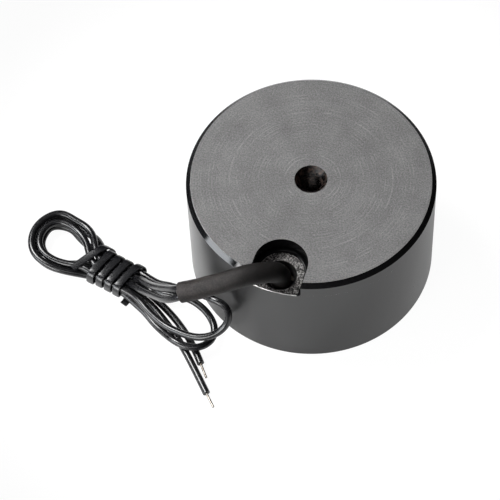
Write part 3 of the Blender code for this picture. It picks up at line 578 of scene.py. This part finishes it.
turned_back = Finish("turned_back", Metallic=0.35, Roughness=0.5)
radius = turned_back.place.from_axis()
flat_place = turned_back.place.stretched(1.0, 1.0, 0.0)
wavering = radius + 0.12 * flat_place.noise(0.12, 2.0)
rings = radius.node("ShaderNodeTexNoise", {"noise_dimensions": "1D"},
                    {"W": wavering, "Scale": 2.6, "Detail": 3.0, "Roughness": 0.72})
bands = radius.node("ShaderNodeTexNoise", {"noise_dimensions": "1D"},
                    {"W": radius, "Scale": 0.42, "Detail": 1.0, "Roughness": 0.5})
grain = flat_place.noise(3.3, 3.0, 0.75)
arcs = rings.between(0.50, 0.68) * flat_place.noise(0.22, 2.0).between(0.42, 0.62)
clouds = flat_place.noise(0.14, 2.0)
turned_back.set(
    Base_Color=(0.12 * arcs + 0.66 * grain + 0.04 * bands + 0.14 * clouds).between(0.14, 0.86).tint(
        (0.042, 0.0415, 0.0415), (0.322, 0.318, 0.317)),
    Roughness=0.40 + 0.16 * grain + 0.08 * rings,
    Normal=(0.25 * rings + 0.75 * grain).bumps(0.012))

# The back edge with its chamfer was turned last, so it is glossier than the wall below it
black_steel = Finish("black_steel", Roughness=0.25)
height = black_steel.place.axis(2)
soft = black_steel.place.stretched(0.3, 0.3, 0.08).noise(0.5, 3.0)
fine = black_steel.place.stretched(0.4, 0.4, 5.0).noise(3.0, 3.0, 0.6)
recut = height.between(BODY_HEIGHT - 1.0, BODY_HEIGHT - 0.8)
black_steel.set(
    Base_Color=(0.5 * soft + 0.5 * fine).tint((0.003, 0.003, 0.0032), (0.006, 0.006, 0.0065)),
    Roughness=(0.24 + 0.06 * soft + 0.04 * fine) * (1 - 0.80 * recut),
    Normal=fine.bumps(0.003))

# The slot's wall mirrors less than the outer wall does, and the edge of its floor is worn bright
slot_black = Finish("slot_black", Roughness=0.2, Specular_IOR_Level=0.06)
slot_black.set(
    Base_Color=slot_black.place.noise(0.8, 3.0).tint((0.0012, 0.0012, 0.0013), (0.003, 0.003, 0.0032)))
burr = Finish("bright_edge", Metallic=1.0, Roughness=0.3)
burr.set(
    Base_Color=burr.place.noise(1.6, 3.0).between(0.3, 0.7).tint((0.45, 0.44, 0.43), (0.95, 0.94, 0.92)))

milled_floor = Finish("milled_floor", Metallic=0.3, Roughness=0.6)
pits = milled_floor.place.noise(2.9, 3.0, 0.7)
glints = milled_floor.place.noise(7.0, 2.0)
speckle = (0.65 * pits + 0.35 * glints).between(0.46, 0.60)
milled_floor.set(
    Base_Color=speckle.tint((0.003, 0.003, 0.0035), (0.36, 0.345, 0.335)),
    Roughness=0.45 + 0.3 * glints,
    Normal=pits.bumps(0.16))

drilled = Finish("drilled_steel", Metallic=0.4, Roughness=0.4)
scoring = drilled.place.stretched(1.0, 1.0, 6.0).noise(1.2, 3.0)
drilled.set(Base_Color=scoring.tint((0.006, 0.006, 0.006), (0.03, 0.028, 0.027)))

oiled_thread = Finish("oiled_thread", Metallic=0.55, Roughness=0.25)
oil = oiled_thread.place.noise(1.3, 3.0)
oiled_thread.set(
    Base_Color=oil.between(0.42, 0.75).tint((0.002, 0.0015, 0.0014), (0.045, 0.027, 0.020)),
    Roughness=0.14 + 0.3 * oil,
    Normal=oiled_thread.place.noise(3.0, 3.0).bumps(0.05))

ground_pole = Finish("ground_pole", Metallic=1.0, Roughness=0.3)
lay = ground_pole.place.stretched(0.12, 9.0, 1.0).noise(1.0, 4.0, 0.7)
haze = ground_pole.place.noise(0.25, 3.0)
ground_pole.set(
    Base_Color=(0.6 * lay + 0.4 * haze).tint((0.42, 0.415, 0.41), (0.66, 0.65, 0.64)),
    Roughness=0.22 + 0.16 * lay + 0.1 * haze,
    Normal=lay.bumps(0.006))


def rounded(corners, radius, steps=4):
    """A profile whose corners are rounded: each is left and met again at the tangent length from it, which
    is the radius times the tangent of half the turn, along points of a quadratic curve."""
    corners = np.array(corners, dtype=float)
    out = [corners[0]]
    for before, corner, after in zip(corners[:-2], corners[1:-1], corners[2:]):
        back, on = unit(before - corner), unit(after - corner)
        turn = pi - acos(np.clip(np.dot(back, on), -1.0, 1.0))
        tangent = radius * np.tan(turn / 2)
        t = np.linspace(0.0, 1.0, steps + 1)[:, None]
        bend = (1 - t) ** 2 * tangent * back + t ** 2 * tangent * on + corner
        out += [corner + back * (tangent + radius), *bend, corner + on * (tangent + radius)]
    return np.array(out + [corners[-1]])


def on_circle(radius, angle, height):
    """Places on a circle, by the angle from -Y towards +X."""
    radius, angle, height = np.broadcast_arrays(radius, angle, height)
    return np.stack((radius * np.sin(angle), -radius * np.cos(angle), height), axis=-1)


def spanned(first, last, rows):
    """A patch of straight lines from each place of one row to the same place of another."""
    t = np.asarray(rows, dtype=float)[:, None, None]
    return (1 - t) * first[None] + t * last[None]


def split_circle(start, middle, end, first_count, last_count):
    """Angles that run in even steps from the start to the middle, and on from there to the end."""
    return np.concatenate((np.linspace(start, middle, first_count), np.linspace(middle, end, last_count)[1:]))


# The outer wall between the back face and the slot's floor, and the slot's own wall, meet at the same
# heights. At each height the wall ends where the slot's half width meets the body's radius.
rim = rounded([(0.0, BODY_HEIGHT), (BODY_RADIUS - BACK_CHAMFER, BODY_HEIGHT),
               (BODY_RADIUS, BODY_HEIGHT - BACK_CHAMFER), (BODY_RADIUS, 0.0)], EDGE_ROUND)
heights = np.unique(np.concatenate((
    rim[3:-1, 1], BODY_HEIGHT - SLOT_LIP * (1 - np.cos(np.linspace(0, pi / 2, 6))),
    np.linspace(BODY_HEIGHT - BACK_CHAMFER - 0.2, SLOT_FLOOR + SLOT_FOOT, 6),
    SLOT_FLOOR + SLOT_FOOT * (1 - np.cos(np.linspace(0, pi / 2, 8))))))[::-1]
heights = heights[(heights <= BODY_HEIGHT) & (heights >= SLOT_FLOOR)]
heights = heights[np.concatenate(([True], np.diff(heights) < -0.004))]
heights[-1] = SLOT_FLOOR
wall_radius = np.interp(-heights, -rim[2:, 1], rim[2:, 0])
lip = np.clip((heights - BODY_HEIGHT + SLOT_LIP) / SLOT_LIP, 0.0, 1.0)
foot = np.clip((SLOT_FLOOR + SLOT_FOOT - heights) / SLOT_FOOT, 0.0, 1.0)
half_width = (SLOT_HALF_WIDTH + SLOT_LIP * (1 - np.sqrt(1 - lip ** 2))
              - SLOT_FOOT * (1 - np.sqrt(1 - foot ** 2)))
corner_angle = np.arcsin(half_width / wall_radius)
share = np.linspace(0.0, 1.0, RIM_COLUMNS)[None]
angles = corner_angle[:, None] + (2 * pi - 2 * corner_angle[:, None]) * share
outer_wall = on_circle(wall_radius[:, None], angles, heights[:, None])

end_angle = np.linspace(pi, 0.0, SLOT_COLUMNS - 2 * STRAIGHT_COLUMNS)
straight = np.linspace(0.0, 1.0, STRAIGHT_COLUMNS + 1)[:-1]
h = half_width[:, None]
mouth_y = -np.sqrt(wall_radius[:, None] ** 2 - h ** 2)
slot_x = np.concatenate((-h + 0 * straight, h * np.cos(end_angle), h + 0 * straight), axis=1)
slot_y = np.concatenate((mouth_y + (-SLOT_END - mouth_y) * straight, -SLOT_END + h * np.sin(end_angle),
                         (-SLOT_END + (mouth_y + SLOT_END) * (1 - straight[::-1]))), axis=1)
slot_wall = np.stack((slot_x, slot_y, np.broadcast_to(heights[:, None], slot_x.shape)), axis=-1)

# The back face, from the mouth of the fixing hole out to the rim and the slot.
face_edge = np.concatenate((outer_wall[0], slot_wall[0][1:]))
fan = radians(36.0)
face_angles = split_circle(fan, 2 * pi - fan, 2 * pi + fan, RIM_COLUMNS, SLOT_COLUMNS)
mouth_ring = on_circle(COUNTERSINK_RADIUS + COUNTERSINK_EDGE, face_angles, BODY_HEIGHT)
middle_ring = on_circle(FACE_MIDDLE, face_angles, BODY_HEIGHT)
face_inner = spanned(mouth_ring, middle_ring, (0.0, 0.015, 0.3, 0.65, 1.0))
face_outer = spanned(middle_ring, face_edge, (0.0, 0.35, 0.7, 0.985, 1.0))

# The tapped hole: at each height its radius is the larger of the thread's ridges and the countersink's
# cone, and the thread fades out into the drill's point.
depth = np.concatenate(((0.0, 0.012, COUNTERSINK_EDGE / 2, COUNTERSINK_EDGE),
                        np.linspace(0.12, THREAD_DEPTH, 124), [HOLE_DEPTH]))
cone = (COUNTERSINK_RADIUS + COUNTERSINK_EDGE * (1 - np.clip(depth / COUNTERSINK_EDGE, 0, 1)) ** 2
        - np.clip(depth - COUNTERSINK_EDGE / 2, 0, None))
ridge = np.abs(((depth[:, None] / THREAD_PITCH - face_angles[None] / (2 * pi)) % 1.0) * 2 - 1)
fade = np.clip((THREAD_DEPTH - depth) / THREAD_PITCH, 0.0, 1.0)[:, None]
thread = THREAD_MINOR + (THREAD_MAJOR - THREAD_MINOR) * fade * np.clip(1.25 * ridge - 0.12, 0.0, 1.0)
bore = on_circle(np.maximum(thread, cone[:, None]), face_angles[None], (BODY_HEIGHT - depth)[:, None])
point_shares = np.array([1.0, 0.5, 0.0])[:, None]
drill_point = on_circle(THREAD_MINOR * point_shares, face_angles[None],
                        BODY_HEIGHT - HOLE_DEPTH - 0.6 * THREAD_MINOR * (1 - point_shares))

# Below the slot the wall goes all the way round, over the pole ring and up the coil chamber.
floor_arc = np.linspace(2 * pi - corner_angle[-1], 2 * pi + corner_angle[-1], SLOT_COLUMNS)
full_angles = np.concatenate((angles[-1], floor_arc[1:]))
on_floor = (np.arange(len(full_angles)) >= RIM_COLUMNS) & (np.arange(len(full_angles)) < len(full_angles) - 1)
lip_turn = np.linspace(0.0, pi / 2, 5)[:, None]
lip_drop = SLOT_LIP * (1 - np.cos(lip_turn)) * (0.02 + 0.98 * on_floor) * (lip_turn > 0)
lip_rows = on_circle(BODY_RADIUS - SLOT_LIP * (1 - np.sin(lip_turn)) * on_floor, full_angles,
                     SLOT_FLOOR - lip_drop)
skirt = rounded([(BODY_RADIUS, SLOT_FLOOR - 0.3), (BODY_RADIUS, POLE_CHAMFER),
                 (BODY_RADIUS - POLE_CHAMFER, 0.0), (CHAMBER_RADIUS + MOUTH_CHAMFER, 0.0),
                 (CHAMBER_RADIUS, MOUTH_CHAMFER), (CHAMBER_RADIUS, MOUTH_HEIGHT)], EDGE_ROUND)
skirt_wall = on_circle(skirt[:, :1], full_angles, skirt[:, 1:])
outer_ring_rows = int(np.argmin(skirt[:, 1]))

crossing = acos((CABLE_HOLE_PLACE ** 2 + CHAMBER_RADIUS ** 2 - CABLE_HOLE_RADIUS ** 2)
                / (2 * CABLE_HOLE_PLACE * CHAMBER_RADIUS))
outside = len(full_angles) + 1 - IN_HOLE
roof_angles = split_circle(crossing, 2 * pi - crossing, 2 * pi + crossing, outside, IN_HOLE)
climb = np.linspace(0.0, 1.0, 9)[:, None]
chamber_wall = on_circle(CHAMBER_RADIUS, full_angles + (roof_angles - full_angles) * climb,
                         MOUTH_HEIGHT + (CHAMBER_ROOF - MOUTH_HEIGHT) * climb)

# The slot's floor runs from the drilled hole to the slot's foot and to the rim.
floor_edge = np.concatenate((slot_wall[-1], lip_rows[0, RIM_COLUMNS - 1:][::-1][1:]))
around = np.unwrap(np.arctan2(floor_edge[:, 1] + CABLE_HOLE_PLACE, floor_edge[:, 0]))
hole_centre = np.array([0.0, -CABLE_HOLE_PLACE, 0.0])


def on_cable_hole(angle, height, radius=CABLE_HOLE_RADIUS):
    """Places on the drilled hole's wall, by the angle from +X towards +Y."""
    angle, height = np.broadcast_arrays(angle, height)
    return np.stack((radius * np.cos(angle), radius * np.sin(angle), height), axis=-1) + hole_centre


hole_mouth = on_cable_hole(around, SLOT_FLOOR, CABLE_HOLE_RADIUS + CABLE_HOLE_EDGE)
floor = spanned(floor_edge, hole_mouth, (0.0, 0.05, 0.5, 0.95, 1.0))
meet_x = CHAMBER_RADIUS * sin(crossing)
meet_y = CABLE_HOLE_PLACE - CHAMBER_RADIUS * cos(crossing)
meet = atan2(meet_y, meet_x)
inside_hole = len(around) + 1 - IN_HOLE
low_angles = split_circle(pi - meet, meet, meet - (pi + 2 * meet), inside_hole, IN_HOLE)
drop = np.concatenate(([0.0], np.linspace(0.03, 1.0, 9)))[:, None]
wall_top = SLOT_FLOOR - CABLE_HOLE_EDGE
hole_wall = on_cable_hole(around + (low_angles - around) * drop, wall_top - (wall_top - CHAMBER_ROOF) * drop)
hole_wall = np.concatenate((hole_mouth[None], hole_wall))

# The chamber's roof runs from the core to the chamber wall and round the part of the drilled hole that
# breaks into it. The rest of the hole ends in a crescent of steel.
roof_edge = np.concatenate((chamber_wall[-1, :outside], hole_wall[-1, :inside_hole][1:]))
core_fan = radians(25.0)
core_angles = split_circle(core_fan, 2 * pi - core_fan, 2 * pi + core_fan, outside, inside_hole)
roof = spanned(on_circle(CORE_RADIUS, core_angles, CHAMBER_ROOF), roof_edge, (0.0, 0.5, 1.0))
crescent = spanned(chamber_wall[-1, outside - 1:], hole_wall[-1, inside_hole - 1:][::-1], (0.0, 1.0))
core_profile = rounded([(CORE_RADIUS, MOUTH_HEIGHT), (CORE_RADIUS, MOUTH_CHAMFER),
                        (CORE_RADIUS - MOUTH_CHAMFER, 0.0), (0.0, 0.0)], EDGE_ROUND)
core_profile = np.concatenate(([(CORE_RADIUS, CHAMBER_ROOF), (CORE_RADIUS, 8.0)], core_profile))
core = on_circle(core_profile[:, :1], core_angles, core_profile[:, 1:])
core_face_rows = int(np.argmin(core_profile[:, 1]))

pot = joined("turned_pot", [
    (face_inner, FACE), (face_outer, FACE), (bore, THREAD), (drill_point, THREAD),
    (outer_wall, BLACK), (slot_wall, SLOT), (lip_rows, EDGE),
    (np.stack((lip_rows[-1], skirt_wall[0])), BLACK), (skirt_wall[:outer_ring_rows + 1], BLACK),
    (skirt_wall[outer_ring_rows:], POLE), (chamber_wall, POLE),
    (floor, FLOOR), (hole_wall, HOLE), (roof, POLE), (crescent, HOLE),
    (core[:core_face_rows + 1], POLE), (core[core_face_rows:], POLE)],
    [turned_back, black_steel, milled_floor, drilled, oiled_thread, ground_pole, burr, slot_black], 33.0)
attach(pot, "root")
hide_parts("housing")

# The potting resin: black epoxy poured over the coil from the pole side. It creeps a little way up the
# steel on both sides and was left a tenth of a millimetre below the ground face.
RESIN_INNER = 10.53
RESIN_OUTER = 21.47
RESIN_TOP = 2.0
RESIN_RECESS = 0.1

cast_resin = Finish("cast_resin", Roughness=0.3)
skin = cast_resin.place.noise(0.5, 3.0)
bubbles = cast_resin.place.node("ShaderNodeTexVoronoi", {"distance": "EUCLIDEAN"},
                                {"Vector": cast_resin.place, "Scale": 0.55}).between(0.0, 0.22)
cast_resin.set(
    Base_Color=skin.tint((0.012, 0.012, 0.0125), (0.026, 0.026, 0.027)),
    Roughness=0.2 + 0.18 * skin,
    Normal=(0.5 * skin + 0.5 * bubbles).bumps(0.06))
ring_angles = np.linspace(0.0, 2 * pi, 193)[None]
middle = (RESIN_INNER + RESIN_OUTER) / 2
spread = (RESIN_OUTER - RESIN_INNER) / 2
across = np.sin(np.linspace(-pi / 2, pi / 2, 25))
sag = RESIN_RECESS + 0.09 * (1 - np.abs(across) ** 6)
under = np.stack((middle + spread * across, sag), axis=1)
over = np.array([(RESIN_OUTER, RESIN_TOP), (RESIN_INNER, RESIN_TOP), (RESIN_INNER, RESIN_RECESS)])
profile = np.concatenate((under, over))
swirl = 0.015 * np.sin(5 * ring_angles) + 0.01 * np.sin(11 * ring_angles + 1.0)
calm = 1 - np.abs((profile[:, :1] - middle) / spread) ** 4
resin_heights = profile[:, 1:] + swirl * (profile[:, 1:] < 1.0) * calm
resin = joined("cast_resin_ring", [(on_circle(profile[:, :1], ring_angles, resin_heights), 0)], [cast_resin])
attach(resin, "root")
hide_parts("potting_resin")

# Inside, out of sight: the moulded spool with its winding of enamelled wire and its yellow tape, and the
# joints of the winding's two ends with the leads, each under a short woven tube.
nylon = Finish("moulded_nylon", Roughness=0.5)
nylon.set(Base_Color=nylon.place.noise(0.6, 3.0).tint((0.66, 0.62, 0.5), (0.78, 0.75, 0.65)))
copper = Finish("wound_copper", Metallic=0.9, Roughness=0.32)
layers = copper.place.node("ShaderNodeTexWave", {"bands_direction": "Z"},
                           {"Vector": copper.place, "Scale": 0.8})
copper.set(Base_Color=layers.tint((0.32, 0.1, 0.04), (0.62, 0.24, 0.1)), Normal=layers.bumps(0.1))
tape = Finish("polyester_tape", Roughness=0.35)
tape.set(Base_Color=tape.place.noise(0.3, 2.0).tint((0.68, 0.52, 0.09), (0.8, 0.66, 0.16)))
woven = Finish("woven_tube", Roughness=0.65)
woven.set(Base_Color=woven.place.noise(6.0, 2.0).tint((0.5, 0.48, 0.4), (0.7, 0.68, 0.6)))
for node, inner_finish in (("coil_bobbin", nylon), ("coil_winding", copper), ("winding_tape", tape),
                           ("winding_end_1", copper), ("winding_end_2", copper),
                           ("splice_sleeve_1", woven), ("splice_sleeve_2", woven)):
    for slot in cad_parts[node].material_slots:
        slot.material = inner_finish.material

# The studio: a white sheet under the magnet, a faint light overhead and four soft lights on the left and in
# front, which the wall, the chamfer, the leads and the tie reflect. To the camera the sheet is white with a
# faint shadow. In reflections it is grey near the magnet and dark beyond, like a room: a painted reflection,
# from a glow that reflected rays see only near the magnet and from a colour painted dark further out.
SHEET_HALF = 3.0
CAMERA_AZIMUTH = 17.3

sheet_finish = Finish("white_sheet", Roughness=0.9, Specular_IOR_Level=0.0)
tree = sheet_finish.material.node_tree
surface = Reading(tree, sheet_finish.shader.outputs[0])
to_camera, mirrored, through = (surface.node("ShaderNodeLightPath", output=ray)
                                for ray in ("Is Camera Ray", "Is Glossy Ray", "Is Transmission Ray"))
glow = surface.node("ShaderNodeEmission", (), {"Color": (1.0, 1.0, 1.0, 1.0), "Strength": 1.06})
# Painted reflection: the sheet glows to reflected rays only near the magnet, and its own colour darkens
# beyond it
painted_reflection_nearby = 1 - sheet_finish.place.from_axis().between(44.0, 90.0)
sheet_finish.set(Base_Color=painted_reflection_nearby.tint((0.1, 0.1, 0.1), (0.88, 0.88, 0.88)))
glowing = 0.9 * to_camera + 0.52 * (mirrored + through) * painted_reflection_nearby
seen = surface.node("ShaderNodeMixShader", (), {0: glowing, 1: surface, 2: glow})
tree.links.new(seen.socket, tree.nodes["Material Output"].inputs["Surface"])
mesh = bpy.data.meshes.new("white_sheet")
mesh.from_pydata([(-SHEET_HALF, -SHEET_HALF, 0.0), (SHEET_HALF, -SHEET_HALF, 0.0),
                  (SHEET_HALF, SHEET_HALF, 0.0), (-SHEET_HALF, SHEET_HALF, 0.0)], [], [(0, 1, 2, 3)])
mesh.materials.append(sheet_finish.material)
sheet = bpy.data.objects.new("white_sheet", mesh)
bpy.context.scene.collection.objects.link(sheet)


def soft_light(name, azimuth, distance, height, size, radiance, aim=0.0, spread=180.0, roll=0.0,
               colour=(1.0, 1.0, 1.0)):
    """A rectangular soft light at an azimuth from the camera's own, turned to a height on the magnet's axis.
    The distance, heights and size are in metres, and the angles in degrees."""
    light = bpy.data.lights.new(name, "AREA")
    light.shape = "RECTANGLE"
    light.size, light.size_y = size
    light.spread = radians(spread)
    light.color = colour
    light.energy = radiance * size[0] * size[1] * pi
    lamp = bpy.data.objects.new(name, light)
    turn = radians(azimuth + CAMERA_AZIMUTH)
    place = Vector((distance * sin(turn), -distance * cos(turn), height))
    lamp.location = place
    facing = (Vector((0.0, 0.0, aim)) - place).to_track_quat("-Z", "Y")
    lamp.rotation_euler = (facing @ Quaternion((0.0, 0.0, 1.0), radians(roll))).to_euler()
    bpy.context.scene.collection.objects.link(lamp)


soft_light("overhead_light", 180.0, 0.15, 1.5, (2.4, 2.4), 0.18)
soft_light("left_window", -116.0, 0.42, 0.50, (0.36, 0.30), 1.7, spread=40.0)
soft_light("left_soft_box", -72.0, 0.70, 0.178, (0.300, 0.340), 8.8, 0.178, roll=-30.0,
           colour=(0.92, 0.96, 1.0))
soft_light("front_soft_box", -44.0, 0.70, 0.20, (0.34, 0.34), 11.0, 0.20)
soft_light("front_light", -20.0, 0.55, 0.59, (0.48, 0.22), 3.0)

world = bpy.data.worlds.new("studio")
world.use_nodes = True
bpy.context.scene.world = world
world.node_tree.nodes["Background"].inputs["Color"].default_value = (1.0, 1.0, 1.0, 1.0)
world.node_tree.nodes["Background"].inputs["Strength"].default_value = 0.02

bpy.context.view_layer.update()
